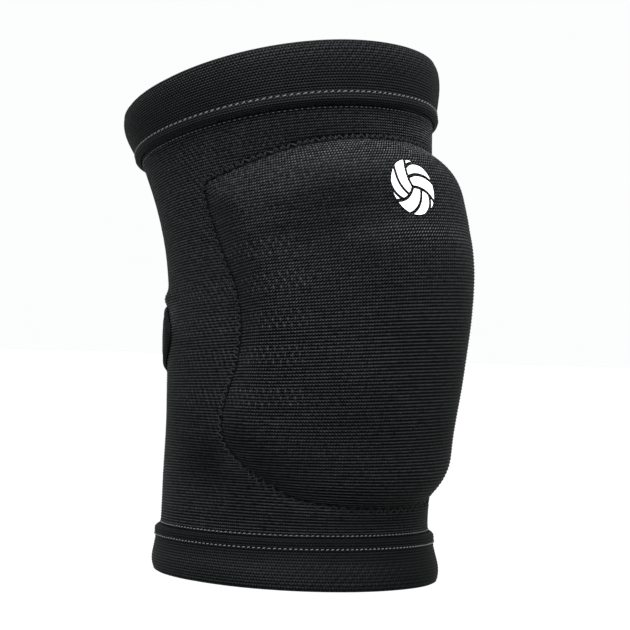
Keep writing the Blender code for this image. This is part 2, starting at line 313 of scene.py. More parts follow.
# Closed tube from rings. courses counts knitted rows up it and wales the loops round it, which are
# wider at the front by the share in widened.
def ringMesh(name, rows, courses, wales, widened, marks):
    count, around = rows.shape[:2]
    index = np.arange(count * around).reshape(count, around)
    right = np.roll(index, -1, axis=1)
    above, aboveRight = np.roll(index, -1, axis=0), np.roll(right, -1, axis=0)
    faces = np.stack([index, right, aboveRight, above], axis=-1).reshape(-1, 4)
    mesh = bpy.data.meshes.new(name)
    mesh.from_pydata(rows.reshape(-1, 3), [], faces.tolist())
    turn = np.arange(around + 1) * math.tau / around
    wale = (turn - widened[:, None] * np.sin(turn)) * wales / math.tau
    nextWale = np.roll(wale, -1, axis=0)
    course = np.repeat(courses[:, None], around, axis=1)
    nextCourse = np.repeat(np.append(courses[1:], courses[-1])[:, None], around, axis=1)
    corners = [wale[:, :-1], course, wale[:, 1:], course]
    corners += [nextWale[:, 1:], nextCourse, nextWale[:, :-1], nextCourse]
    fillLayer(mesh.uv_layers.new(name="knitMap"), "uv", np.stack(corners, axis=-1))
    for label, values in marks.items():
        spread = np.broadcast_to(values, (count, around))
        fillLayer(mesh.attributes.new(label, "FLOAT", "POINT"), "value", spread)
    mesh.shade_smooth()
    return makePiece(name, mesh)


# Node helpers

def connect(tree, value, socket):
    if isinstance(value, bpy.types.NodeSocket):
        tree.links.new(value, socket)
    else:
        socket.default_value = value


# New node, its sockets filled by name or number. Gives its first output, or the one asked for.
def addNode(tree, kind, sockets=None, output=0, **settings):
    node = tree.nodes.new(kind)
    for name, value in settings.items():
        setattr(node, name, value)
    for key, value in (sockets or {}).items():
        connect(tree, value, node.inputs[key])
    return node.outputs[output]


def addMath(tree, operation, *values):
    return addNode(tree, "ShaderNodeMath", dict(enumerate(values)), operation=operation)


def clamped(tree, value):
    return addMath(tree, "MINIMUM", addMath(tree, "MAXIMUM", value, 0.0), 1.0)


def sumNodes(tree):
    def named(operation):
        return lambda *values: addMath(tree, operation, *values)

    return named("ADD"), named("SUBTRACT"), named("MULTIPLY")


def scaledVector(tree, vector, scale):
    return addNode(tree, "ShaderNodeVectorMath", {0: vector, "Scale": scale}, operation="SCALE")


# Geometry Nodes trees

def newTree(name, inputs):
    tree = bpy.data.node_groups.new(name, "GeometryNodeTree")
    addSocket = tree.interface.new_socket
    addSocket("Geometry", in_out="INPUT", socket_type="NodeSocketGeometry")
    for label, kind in inputs.items():
        addSocket(label, in_out="INPUT", socket_type=f"NodeSocket{kind}")
    addSocket("Geometry", in_out="OUTPUT", socket_type="NodeSocketGeometry")
    given = tree.nodes.new("NodeGroupInput").outputs
    return tree, given, tree.nodes.new("NodeGroupOutput").inputs[0]


def namedField(tree, name, kind="FLOAT"):
    return addNode(tree, "GeometryNodeInputNamedAttribute", {"Name": name}, "Attribute", data_type=kind)


def finishTree(tree, geometry, material, target):
    real = addNode(tree, "GeometryNodeRealizeInstances", {0: geometry})
    painted = addNode(tree, "GeometryNodeSetMaterial", {"Geometry": real, "Material": material})
    connect(tree, painted, target)


ribNoiseScale = 260


# Lifts a tube's skin into knitted ribs, one for each course
def ribTree():
    inputs = {"Rib Height": "Float", "Unevenness": "Float", "Seed": "Float", "Material": "Material"}
    tree, given, target = newTree("knitRibs", inputs)
    plus, minus, times = sumNodes(tree)
    ridge = times(addMath(tree, "COSINE", times(namedField(tree, "course"), math.tau)), -0.5)
    sockets = {"Scale": ribNoiseScale, "W": given["Seed"]}
    noise = addNode(tree, "ShaderNodeTexNoise", sockets, noise_dimensions="4D")
    loose = times(minus(noise, 0.5), given["Unevenness"])
    lift = times(plus(ridge, loose), given["Rib Height"])
    lift = times(lift, namedField(tree, "outside"))
    offset = scaledVector(tree, addNode(tree, "GeometryNodeInputNormal"), lift)
    sockets = {"Geometry": given["Geometry"], "Offset": offset}
    moved = addNode(tree, "GeometryNodeSetPosition", sockets)
    finishTree(tree, moved, given["Material"], target)
    return tree


threadForm = {"dip": 0.9, "crown": 1.2, "arcSteps": 5, "sides": 5, "cordSides": 6}


def evenCurve(tree, geometry, pitch):
    path = addNode(tree, "GeometryNodeMeshToCurve", {0: geometry})
    return addNode(tree, "GeometryNodeResampleCurve", {"Curve": path, "Length": pitch}, mode="LENGTH")


# Round thread swept along a curve
def sweptThread(tree, curve, thickness, sides, **caps):
    radius = addMath(tree, "MULTIPLY", thickness, 0.5)
    ring = addNode(tree, "GeometryNodeCurvePrimitiveCircle", {"Resolution": sides, "Radius": radius})
    swept = addNode(tree, "GeometryNodeCurveToMesh", {"Curve": curve, "Profile Curve": ring, **caps})
    return addNode(tree, "GeometryNodeSetShadeSmooth", {"Geometry": swept})


# Thread stitches along a sewn line: short arcs that rise out of the cloth and dive back in
def stitchTree():
    inputs = dict.fromkeys(("Pitch", "Length", "Thread", "Lift", "Slant", "Zigzag", "Looseness"), "Float")
    tree, given, target = newTree("sewnStitches", dict(inputs, Seed="Int", Material="Material"))
    plus, minus, times = sumNodes(tree)
    spaced = evenCurve(tree, given["Geometry"], given["Pitch"])
    out = namedField(tree, "out", "FLOAT_VECTOR")
    tangent = addNode(tree, "GeometryNodeInputTangent")
    index = addNode(tree, "GeometryNodeInputIndex")
    side = minus(times(addMath(tree, "MODULO", index, 2.0), 2.0), 1.0)
    sockets = {2: -1.0, 3: 1.0, "Seed": given["Seed"]}
    wobble = addNode(tree, "FunctionNodeRandomValue", sockets, 1, data_type="FLOAT")
    turned = plus(times(side, given["Zigzag"]), given["Slant"])
    turned = plus(turned, times(wobble, given["Looseness"]))
    sockets = {"Geometry": spaced, "Offset": scaledVector(tree, out, given["Lift"])}
    place = addNode(tree, "GeometryNodeSetPosition", sockets)
    axes = {"primary_axis": "X", "secondary_axis": "Z"}
    facing = addNode(tree, "FunctionNodeAxesToRotation", {0: tangent, 1: out}, **axes)
    spin = addNode(tree, "FunctionNodeAxisAngleToRotation", {"Axis": (0, 0, 1), "Angle": turned})
    turnedBy = addNode(tree, "FunctionNodeRotateRotation", {0: facing, 1: spin}, rotation_space="LOCAL")
    half = times(given["Length"], 0.5)
    dip = times(given["Thread"], -threadForm["dip"])
    crown = times(given["Thread"], threadForm["crown"])
    spots = {"Resolution": threadForm["arcSteps"]}
    for socket, along, up in (("Start", times(half, -1.0), dip), ("End", half, dip), ("Middle", 0.0, crown)):
        spots[socket] = addNode(tree, "ShaderNodeCombineXYZ", {0: along, 2: up})
    arc = addNode(tree, "GeometryNodeCurveQuadraticBezier", spots)
    stitch = sweptThread(tree, arc, given["Thread"], threadForm["sides"], **{"Fill Caps": True})
    sockets = {"Points": place, "Instance": stitch, "Rotation": turnedBy}
    finishTree(tree, addNode(tree, "GeometryNodeInstanceOnPoints", sockets), given["Material"], target)
    return tree


# A thin cord along a path
def cordTree():
    inputs = {"Thread": "Float", "Pitch": "Float", "Material": "Material"}
    tree, given, target = newTree("seamCord", inputs)
    spaced = evenCurve(tree, given["Geometry"], given["Pitch"])
    thread = sweptThread(tree, spaced, given["Thread"], threadForm["cordSides"])
    finishTree(tree, thread, given["Material"], target)
    return tree


# Sets the tree's inputs, evaluates the piece and keeps the result as its plain mesh
def runTree(piece, tree, values):
    modifier = piece.modifiers.new(tree.name, "NODES")
    modifier.node_group = tree
    for item in tree.interface.items_tree:
        if item.in_out == "INPUT" and item.name in values:
            modifier[item.identifier] = values[item.name]
    graph = bpy.context.evaluated_depsgraph_get()
    made = bpy.data.meshes.new_from_object(
        piece.evaluated_get(graph), preserve_all_data_layers=True, depsgraph=graph
    )
    piece.modifiers.remove(modifier)
    old = piece.data
    piece.data = made
    bpy.data.meshes.remove(old)
    made.name = piece.name
    return piece


# Path mesh on the cloth that remembers which way is out at each of its points
def sewnLine(name, turn, height, out, closed=True):
    points = clothPoint(turn, height, out)
    count = len(points)
    edges = [(i, (i + 1) % count) for i in range(count if closed else count - 1)]
    mesh = bpy.data.meshes.new(name)
    mesh.from_pydata(points, edges, [])
    fillLayer(mesh.attributes.new("out", "FLOAT_VECTOR", "POINT"), "vector", outwardAt(turn, height))
    return makePiece(name, mesh)


# Materials

sheenRoughness = 0.4


def newMaterial(name, roughness, sheen, specular):
    material = bpy.data.materials.new(name)
    material.use_nodes = True
    shader = material.node_tree.nodes["Principled BSDF"]
    shader.inputs["Roughness"].default_value = roughness
    shader.inputs["Specular IOR Level"].default_value = specular
    shader.inputs["Sheen Weight"].default_value = sheen
    shader.inputs["Sheen Roughness"].default_value = sheenRoughness
    return material, shader


def plainMaterial(name, colour, finish):
    material, shader = newMaterial(name, *finish)
    shader.inputs["Base Color"].default_value = (*colour, 1)
    return material


# Colour between two, and relief, both from one height between 0 and 1
def colourAndRelief(tree, shader, height, low, high, strength, distance, **settings):
    sockets = {0: height, 6: (*low, 1), 7: (*high, 1)}
    colour = addNode(tree, "ShaderNodeMix", sockets, 2, data_type="RGBA", **settings)
    connect(tree, colour, shader.inputs["Base Color"])
    sockets = {"Strength": strength, "Distance": distance, "Height": height}
    connect(tree, addNode(tree, "ShaderNodeBump", sockets), shader.inputs["Normal"])


# Black jersey seen from its ridged side. knitMap holds wales across and courses up.
def knitMaterial(name, look):
    material, shader = newMaterial(name, look["roughness"], look["sheen"], look["specular"])
    tree = material.node_tree
    plus, minus, times = sumNodes(tree)
    lean, tuck, stretch = (
        addNode(tree, "ShaderNodeAttribute", output="Fac", attribute_name=label)
        for label in ("lean", "tuck", "stretch")
    )
    flat = addNode(tree, "ShaderNodeUVMap", uv_map="knitMap")
    split = addNode(tree, "ShaderNodeSeparateXYZ", {0: flat}).node.outputs
    course = split[1]
    row = addMath(tree, "FLOOR", plus(course, look["rowStart"]))
    wale = plus(split[0], times(row, look["rowShift"]))
    place = addNode(tree, "ShaderNodeTexCoord", output="Object")
    sockets = {"Scale": look["yarnScale"], "Detail": 3, "Vector": place}
    yarn = addNode(tree, "ShaderNodeTexNoise", sockets)
    drift = addNode(tree, "ShaderNodeTexNoise", {"Scale": look["driftScale"], "Vector": place})
    # each course waves once for every loop, and its loops lean
    wave = times(minus(addMath(tree, "PINGPONG", wale, 0.5), 0.25), look["wave"] * 4)
    slant = times(minus(0.5, addMath(tree, "FRACT", wale)), look["slant"])
    wave = plus(wave, times(slant, lean))
    wavy = plus(plus(course, wave), times(minus(yarn, 0.5), look["uneven"]))
    ridge = addMath(tree, "SINE", times(addMath(tree, "FRACT", wavy), math.pi))
    ridge = addMath(tree, "POWER", ridge, look["ridgePower"])
    loops = addMath(tree, "COSINE", times(wale, math.tau))
    ridge = times(ridge, plus(times(loops, -look["beads"]), 1 - look["beads"]))
    # threads that cross the gaps between two courses
    crossing = times(plus(times(loops, 0.5), 0.5), look["crossing"])
    light = addMath(tree, "MAXIMUM", ridge, crossing)
    # tuck rows: short bars that bridge the gap to the next course
    phase = plus(addMath(tree, "DIVIDE", wale, look["barWales"]), times(row, look["barShift"]))
    bar = addMath(tree, "PINGPONG", addMath(tree, "FRACT", phase), 0.5)
    bar = times(minus(bar, look["notch"]), look["barEdge"])
    bar = clamped(tree, bar)
    barred = addMath(tree, "MAXIMUM", times(light, look["notchDark"]), times(bar, look["barBright"]))
    light = addNode(tree, "ShaderNodeMix", {0: tuck, 2: light, 3: barred})
    # painted highlight where the attribute read above is positive and painted shade where it is negative,
    # the ridges narrowed where highlighted
    highlightShare = clamped(tree, stretch)
    light = addMath(tree, "POWER", light, plus(times(highlightShare, look["sharpening"]), 1.0))
    light = times(light, plus(times(stretch, look["paintedLightGain"]), 1.0))
    # some courses are knitted tighter than others for part of their run
    sockets = {0: times(wale, look["streakRun"]), 1: times(row, look["streakRows"])}
    along = addNode(tree, "ShaderNodeCombineXYZ", sockets)
    streak = addNode(tree, "ShaderNodeTexNoise", {"Scale": 1.0, "Vector": along})
    light = times(light, plus(times(minus(streak, 0.5), look["streaks"]), 1.0))
    # uneven dye and wear over broad patches, and fibre specks
    light = times(light, plus(times(drift, look["drift"]), 1 - look["drift"] / 2))
    specks = plus(times(yarn, look["fleck"]), 1 - look["fleck"] / 2)
    light = times(light, addMath(tree, "MAXIMUM", specks, look["darkestSpeck"]))
    # the gap colour holds the real holes' dark and painted shade between the courses
    colours = (look["gapHoleAndShadeColour"], look["ridgeColour"])
    relief = (look["bump"], look["bumpHeight"])
    colourAndRelief(tree, shader, light, *colours, *relief, clamp_factor=False)
    return material


threadLook = {
    "roughness": 0.6,
    "specular": 0.04,
    "twistScale": 2600,
    "shade": 0.45,
    "shine": 1.3,
    "bump": 0.4,
    "bumpHeight": 0.0001,
}


# Colour and sheen of each thread; the black one colours the cord in the pocket seam's crease, a painted
# shadow
threadColours = {
    "grey_white_thread": ((0.115, 0.12, 0.122), 0.03),
    "grey_thread": ((0.021, 0.0235, 0.022), 0.01),
    "crease_shadow_black": ((0.0015, 0.0016, 0.0018), 0.0),
}


# Twisted sewing thread, a little uneven along its run
def threadMaterial(name, colour, sheen):
    material, shader = newMaterial(name, threadLook["roughness"], sheen, threadLook["specular"])
    tree = material.node_tree
    place = addNode(tree, "ShaderNodeTexCoord", output="Object")
    noise = addNode(tree, "ShaderNodeTexNoise", {"Scale": threadLook["twistScale"], "Vector": place})
    colours = [[threadLook[key] * c for c in colour] for key in ("shade", "shine")]
    colourAndRelief(tree, shader, noise, *colours, threadLook["bump"], threadLook["bumpHeight"])
    return material


# Raises a tube's courses and gives it its cloth
def ribbed(piece, knit, material):
    values = {
        "Rib Height": knit["ribHeight"],
        "Unevenness": knit["unevenness"],
        "Seed": knit["seed"],
        "Material": material,
    }
    return runTree(piece, ribs, values)


# Sleeve: one long jersey tube, ribbed by its courses

sleeveKnit = {
    "columns": 200,
    "coursePitch": 0.0012,
    "ringsPerCourse": 3,
    "wales": 366,
    "ribHeight": 0.00046,
    "unevenness": 0.35,
    "innerRings": 24,
    "seamDip": 0.0007,
    "seamWidth": 0.0016,
    "puckers": 0.00020,
    "puckerPitch": 0.0044,
    "puckerAt": 0.0022,
    "puckerWidth": 0.0016,
    "foldAt": 0.0080,
    "foldWidth": 0.0036,
    "foldHeight": 0.0017,
    "foldTurn": 0.9,
    "foldFade": 0.35,
    "seed": 3.0,
}
sleeveLook = {
    "ridgeColour": (0.0405, 0.0444, 0.0457),
    # the gaps' colour: the dark of the real holes between courses together with painted shade in these
    # recesses
    "gapHoleAndShadeColour": (0.0002, 0.0003, 0.0004),
    "roughness": 0.62,
    "sheen": 0.004,
    "specular": 0.015,
    "yarnScale": 750,
    "driftScale": 28,
    "wave": 0.12,
    "slant": 0.55,
    "uneven": 0.40,
    "ridgePower": 5.6,
    "beads": 0.35,
    "crossing": 0.08,
    "rowStart": 0.02,
    "rowShift": 0.0,
    "barWales": 2.5,
    "barShift": 0.25,
    "barEdge": 8.0,
    "notch": 0.355,
    "barBright": 0.86,
    "notchDark": 0.85,
    "sharpening": 0.7,
    "paintedLightGain": 1.0,
    "streaks": 0.7,
    "streakRun": 0.07,
    "streakRows": 5.3,
    "drift": 0.5,
    "fleck": 3.0,
    "darkestSpeck": 0.1,
    "bump": 0.6,
    "bumpHeight": 0.0003,
}

# Bands of tuck rows: height of the first one, how many, every how many courses, and the turns
# between which they show
tuckBands = table("height rows every from to strength", [
    (0.0660, 3, 2, -112, -44, 0.55),
    (0.0525, 2, 2, -112, -58, 0.55),
    (0.0360, 2, 2, -84, -50, 0.45),
    (0.0216, 3, 2, -82, -46, 0.90),
    (0.0081, 3, 2, -112, -42, 1.00),
    (-0.0059, 3, 2, -112, -42, 1.00),
    (-0.0196, 3, 2, -112, -42, 1.00),
    (-0.0345, 3, 2, -112, -42, 1.00),
    (-0.0494, 3, 2, -116, -74, 0.60),
    (-0.0646, 2, 2, -116, -84, 0.45),
    (0.0700, 130, 1, -132, -74, 0.32),
])
tuckFade = 4

# How far the courses drift up the leg: all round, toward the front and toward +X, the last two
# counted twice round. Then the share by which the loops are wider at the front, and how they lean.
courseDrift = table("row level front side frontTwice sideTwice widened lean", [
    (-0.0926, 0.0000, 0.0000, 0.0000, 0.0000, 0.0000, 0.120, -0.15),
    (-0.0750, 0.0004, 0.0003, 0.0004, -0.0009, -0.0006, 0.145, -0.15),
    (-0.0550, 0.0006, 0.0011, 0.0009, -0.0002, 0.0006, 0.160, -0.15),
    (-0.0350, 0.0017, 0.0029, 0.0015, 0.0000, 0.0005, 0.115, -0.20),
    (-0.0150, 0.0023, 0.0038, 0.0021, -0.0004, 0.0005, 0.070, 0.20),
    (0.0050, 0.0020, 0.0031, 0.0015, -0.0004, 0.0012, 0.098, 0.95),
    (0.0250, 0.0015, 0.0017, 0.0005, -0.0004, 0.0021, 0.142, 0.95),
    (0.0450, 0.0009, 0.0007, -0.0004, 0.0001, 0.0022, 0.165, 0.90),
    (0.0600, 0.0005, 0.0003, -0.0005, 0.0001, 0.0016, 0.160, 0.95),
    (0.0750, 0.0000, 0.0000, 0.0000, 0.0000, 0.0000, 0.160, 0.80),
])


def driftAt(row, column):
    return smoothThrough(row, courseDrift["row"], courseDrift[column])


def courseHeight(row, turn):
    columns = ("level", "front", "side", "frontTwice", "sideTwice")
    level, front, side, frontTwice, sideTwice = (driftAt(row, column) for column in columns)
    once = front * np.cos(turn) + side * np.sin(turn)
    return row + level + once + frontTwice * np.cos(2 * turn) + sideTwice * np.sin(2 * turn)


# The pocket's seam pulls the cloth in with a pucker at each stitch, and a fold runs behind the knee
def seamRelief(turn, height):
    depth = depthInside(turn, height)
    groove = -sleeveKnit["seamDip"] * bellCurve(depth, sleeveKnit["seamWidth"])
    waves = math.tau / sleeveKnit["puckerPitch"]
    beside = bellCurve(np.abs(depth) - sleeveKnit["puckerAt"], sleeveKnit["puckerWidth"])
    pucker = sleeveKnit["puckers"] * np.cos((turn * legForm["radius"] + height) * waves) * beside
    fromBack = math.pi - np.abs(wrapped(turn))
    fold = sleeveKnit["foldHeight"] * bellCurve(height - sleeveKnit["foldAt"], sleeveKnit["foldWidth"])
    fade = smoothStep((fromBack - sleeveKnit["foldTurn"]) / sleeveKnit["foldFade"])
    return groove + pucker + fold * (1 - fade)


# 1 where a tuck row shows, by course and by turn, alike on both sides of the leg
def tuckMask(row, turn):
    course = np.floor(row / sleeveKnit["coursePitch"] + sleeveLook["rowStart"])
    mask = np.zeros(np.broadcast_shapes(row.shape, turn.shape))
    degrees = -np.abs(np.degrees(wrapped(turn)))
    for band in tuckBands:
        below = round(band["height"] / sleeveKnit["coursePitch"]) - course
        shown = (below >= 0) & (below < band["rows"] * band["every"]) & (below % band["every"] == 0)
        edge = smoothStep((degrees - band["from"]) / tuckFade)
        edge = edge * smoothStep((band["to"] - degrees) / tuckFade)
        mask = np.maximum(mask, shown * edge * band["strength"])
    return mask


# Spots of painted highlight (positive) and painted shade (negative) in the sleeve's colour, in the unrolled
# leg's turn and height
paintedLightSpots = table("stretch turn height wide high", [
    (1.05, -24, 0.0535, 32, 0.0042),
    (1.50, 10, 0.0550, 22, 0.0042),
    (5.00, 34, 0.0680, 14, 0.0072),
    (1.90, 15, 0.0650, 12, 0.0070),
    (1.10, 40, 0.0280, 15, 0.0150),
    (-0.40, -38, 0.0640, 30, 0.0050),
    (4.00, 42, 0.0600, 10, 0.0080),
    (0.25, -56, 0.0420, 13, 0.0085),
    (-0.50, -74, 0.0380, 9, 0.0090),
    (1.10, -3, 0.0225, 18, 0.0032),
    (0.40, -54, -0.0180, 13, 0.0300),
    (-0.48, -30, 0.0360, 24, 0.0110),
    (-0.16, -24, 0.0160, 22, 0.0080),
    (0.85, -104, 0.0500, 26, 0.0300),
    (-0.60, -84, -0.0620, 26, 0.0150),
    (-0.24, -10, -0.0560, 60, 0.0180),
    (-0.50, 34, -0.0250, 22, 0.0380),
    (0.75, -22, -0.0740, 20, 0.0070),
    (0.60, -70, -0.0610, 9, 0.0060),
    (-0.42, -42, 0.0270, 22, 0.0090),
    (-0.35, -10, -0.0860, 80, 0.0060),
    (2.40, -117, 0.0000, 8, 0.0090),
    (0.40, -126, 0.0300, 12, 0.0300),
    (0.25, -34, 0.0300, 60, 0.0020),
])

# Painted shade along the pocket's top seam and in a band under the upper cuff
seamAndCuffShade = {
    "seam": 0.75,
    "seamAt": 0.0010,
    "seamWidth": 0.0013,
    "seamFrom": 0.045,
    "seamFade": 0.006,
    "cuff": 0.6,
    "cuffAt": 0.0008,
    "cuffWidth": 0.0016,
}


# Painted highlight and painted shade in the sleeve's colour: the spots, less painted shade beside the
# pocket's top seam and under the upper cuff
def paintedLightAt(turn, height):
    degrees = np.degrees(wrapped(turn))
    stretch = np.zeros(np.broadcast_shapes(turn.shape, height.shape))
    for spot in paintedLightSpots:
        across = bellCurve(degrees - spot["turn"], spot["wide"])
        stretch += spot["stretch"] * across * bellCurve(height - spot["height"], spot["high"])
    top = smoothStep((height - seamAndCuffShade["seamFrom"]) / seamAndCuffShade["seamFade"])
    beside = bellCurve(depthInside(turn, height) + seamAndCuffShade["seamAt"], seamAndCuffShade["seamWidth"])
    cuffFoot = legForm["aboveKnee"] - legForm["upperCuff"]
    underCuff = bellCurve(height - cuffFoot + seamAndCuffShade["cuffAt"], seamAndCuffShade["cuffWidth"])
    return stretch - seamAndCuffShade["seam"] * top * beside - seamAndCuffShade["cuff"] * underCuff


def makeSleeve():
    low = -legForm["belowKnee"] + legForm["lowerCuff"] - legForm["cuffLap"]
    high = legForm["aboveKnee"] - legForm["upperCuff"] + legForm["cuffLap"]
    pitch = sleeveKnit["coursePitch"]
    rings = round((high - low) / pitch) * sleeveKnit["ringsPerCourse"] + 1
    turn = evenTurns(sleeveKnit["columns"])[None, :]
    row = np.linspace(low, high, rings)[:, None]
    height = tilted(courseHeight(row, turn), turn)
    outer = clothPoint(turn, height, legForm["wall"] + seamRelief(turn, height))
    backRow = np.linspace(high, low, sleeveKnit["innerRings"])[:, None]
    backHeight = tilted(courseHeight(backRow, turn), turn)
    inner = clothPoint(turn, backHeight, 0)
    allRows = np.concatenate([row, backRow])
    courses = allRows / pitch
    outside = np.concatenate([np.ones_like(row), np.zeros_like(backRow)])
    marks = {
        "course": courses,
        "outside": outside,
        "tuck": tuckMask(allRows, turn) * outside,
        "lean": driftAt(allRows, "lean"),
        # painted highlight and painted shade on the outer skin
        "stretch": paintedLightAt(turn, np.concatenate([height, backHeight])) * outside,
    }
    widened = driftAt(allRows[:, 0], "widened")
    rows = np.concatenate([outer, inner])
    sleeve = ringMesh("sleeve_knit", rows, courses[:, 0], sleeveKnit["wales"], widened, marks)
    return ribbed(sleeve, sleeveKnit, knitMaterial("black_jersey", sleeveLook))


# Cuffs: doubled bands, their outer layer lapped over the sleeve's end

cuffKnit = {
    "columns": 168,
    "ringsPerCourse": 4,
    "wales": 300,
    "ribHeight": 0.00018,
    "unevenness": 0.4,
    "rimShare": 0.985,
    "rimCrown": 0.0007,
    "rimRings": 7,
    "rimShown": 4,
    "innerRings": 14,
    "underRings": 5,
    "seed": 8.0,
}
cuffLook = dict(
    sleeveLook,
    ridgeColour=(0.0185, 0.0201, 0.0207),
    yarnScale=1100,
    wave=0.16,
    uneven=0.30,
    ridgePower=2.8,
    beads=0.32,
    fleck=1.4,
    crossing=0.16,
    barWales=3.0,
    barShift=0.5,
    rowShift=0.5,
    barBright=0.7,
    notchDark=0.9,
    bumpHeight=0.0002,
)
upperBand = {
    "foot": legForm["aboveKnee"] - legForm["upperCuff"],
    "rim": legForm["aboveKnee"],
    "face": table("rise stand", [
        (0.00, 0.40),
        (0.03, 1.00),
        (0.13, 1.22),
        (0.21, 0.82),
        (0.33, 1.02),
        (0.92, 1.00),
        (0.985, 0.66),
    ]),
    "stitchShare": 0.185,
    "seamOffset": -0.0014,
    "pitch": 0.00100,
    "stretch": 0.15,
    "rimPaintedLight": 0.65,
    "sidePaintedShade": 0.45,
}
lowerBand = {
    "foot": legForm["lowerCuff"] - legForm["belowKnee"],
    "rim": -legForm["belowKnee"],
    "face": table("rise stand", [
        (0.00, 0.40),
        (0.04, 0.95),
        (0.17, 1.20),
        (0.30, 0.90),
        (0.42, 1.02),
        (0.92, 1.02),
        (0.985, 0.70),
    ]),
    "stitchShare": 0.23,
    "seamOffset": 0.0010,
    "pitch": 0.00117,
    "stretch": -0.55,
    "rimPaintedLight": 0.15,
    "sidePaintedShade": 0.80,
}

# Tuck stitches in the outer half of each cuff, most of them at the front
cuffTucks = {"from": 0.45, "fade": 0.1, "least": 0.25, "front": 0.6, "turn": -10, "spread": 40}


# Evenly spaced (height, out) points round a cuff's wall from its foot up, and how many of them show
def cuffProfile(band):
    foot = band["foot"]
    rise = band["rim"] - foot
    toward = math.copysign(1, rise)
    rim = cuffKnit["rimShare"]
    sleeveEnd = foot + toward * (legForm["cuffLap"] + legForm["layerGap"])
    step = band["pitch"] / cuffKnit["ringsPerCourse"]
    share = np.linspace(0, rim, round(rim * abs(rise) / step))
    stand = smoothThrough(share, band["face"]["rise"], band["face"]["stand"])
    outer = np.stack([foot + rise * share, outerWall + legForm["cuffLayer"] * stand], -1)
    half = outer[-1, 1] / 2
    angle = np.linspace(0, math.pi, cuffKnit["rimRings"] + 2)[1:-1]
    crown = (1 - rim) * rise + toward * cuffKnit["rimCrown"]
    top = np.stack([foot + rim * rise + crown * np.sin(angle), half + half * np.cos(angle)], -1)
    innerRun = np.linspace(rim, (sleeveEnd - foot) / rise, cuffKnit["innerRings"])
    inner = np.stack([foot + rise * innerRun, np.zeros_like(innerRun)], -1)
    ledge = np.array([(sleeveEnd, outerWall / 2), (sleeveEnd, outerWall)])
    underRun = np.linspace(sleeveEnd, foot, cuffKnit["underRings"] + 1)[1:]
    under = np.stack([underRun, np.full_like(underRun, outerWall)], -1)
    return np.concatenate([outer, top, inner, ledge, under]), len(outer) + cuffKnit["rimShown"]


def makeCuff(name, band, material):
    profile, shownRows = cuffProfile(band)
    foot, rim = band["foot"], band["rim"]
    turn = evenTurns(cuffKnit["columns"])[None, :]
    outside = np.zeros((len(profile), 1))
    outside[:shownRows] = 1
    if rim < foot:
        profile, outside = profile[::-1], outside[::-1]
    height, out = profile[:, :1], profile[:, 1:]
    rows = clothPoint(turn, tilted(height, turn), out)
    courses = runLength(profile) / band["pitch"]
    share = (height - foot) / (rim - foot)
    front = bellCurve(np.degrees(wrapped(turn)) - cuffTucks["turn"], cuffTucks["spread"])
    tucks = smoothStep((share - cuffTucks["from"]) / cuffTucks["fade"])
    tucks = tucks * (cuffTucks["least"] + cuffTucks["front"] * front)
    # painted light on each cuff: an even painted highlight on the upper cuff and painted shade on the lower,
    # and toward the rim painted highlight stronger on the -X side than on the +X side
    atRim = band["rimPaintedLight"] - band["sidePaintedShade"] * np.sin(turn)
    marks = {
        "course": courses[:, None],
        "outside": outside,
        "tuck": outside * tucks,
        "stretch": outside * (band["stretch"] + np.clip(share, 0, 1) * atRim),
    }
    cuff = ringMesh(name, rows, courses, cuffKnit["wales"], np.zeros(len(profile)), marks)
    return ribbed(cuff, cuffKnit, material)


# Knee pad inside the pocket: foam in a cloth cover, seen through the openings

padCover = {"spokes": 160, "rings": 26, "crowding": 0.8}
padLook = dict(
    sleeveLook,
    ridgeColour=(0.0190, 0.0205, 0.0212),
    gapHoleAndShadeColour=(0.0030, 0.0032, 0.0034),
    wave=0.05,
    crossing=0.6,
    bumpHeight=0.00012,
)


def insetOutline(inset, spokes):
    run = np.roll(outline, -1, axis=0) - np.roll(outline, 1, axis=0)
    run /= np.linalg.norm(run, axis=1, keepdims=True)
    moved = outline + np.stack([run[:, 1], -run[:, 0]], axis=-1) * inset
    closed = np.concatenate([moved, moved[:1]])
    length = runLength(closed)
    even = np.linspace(length[-1], 0, spokes, endpoint=False)
    return np.stack([np.interp(even, length, closed[:, axis]) for axis in (0, 1)], axis=-1)


# Closed lens from rings of points: they run from the hub below, over the rim, to the hub above
def discMesh(name, flat, points, look, material):
    rings, spokes = points.shape[:2]
    body = points[1:-1].reshape(-1, 3)
    hubs = np.stack([points[0, 0], points[-1, 0]])
    index = np.arange((rings - 2) * spokes).reshape(rings - 2, spokes)
    right = np.roll(index, -1, axis=1)
    faces = np.stack([index[:-1], right[:-1], right[1:], index[1:]], axis=-1).reshape(-1, 4).tolist()
    lowHub, highHub = len(body), len(body) + 1
    faces += [(lowHub, int(right[0, i]), int(index[0, i])) for i in range(spokes)]
    faces += [(highHub, int(index[-1, i]), int(right[-1, i])) for i in range(spokes)]
    mesh = bpy.data.meshes.new(name)
    mesh.from_pydata(np.concatenate([body, hubs]), [], faces)
    flatBody = np.concatenate([flat[1:-1].reshape(-1, 2), flat[[0, -1], 0]])
    corners = np.zeros(len(mesh.loops), np.int32)
    mesh.loops.foreach_get("vertex_index", corners)
    fillLayer(mesh.uv_layers.new(name="knitMap"), "uv", flatBody[corners] / sleeveKnit["coursePitch"])
    mesh.shade_smooth()
    mesh.materials.append(knitMaterial(material, look))
    return makePiece(name, mesh)


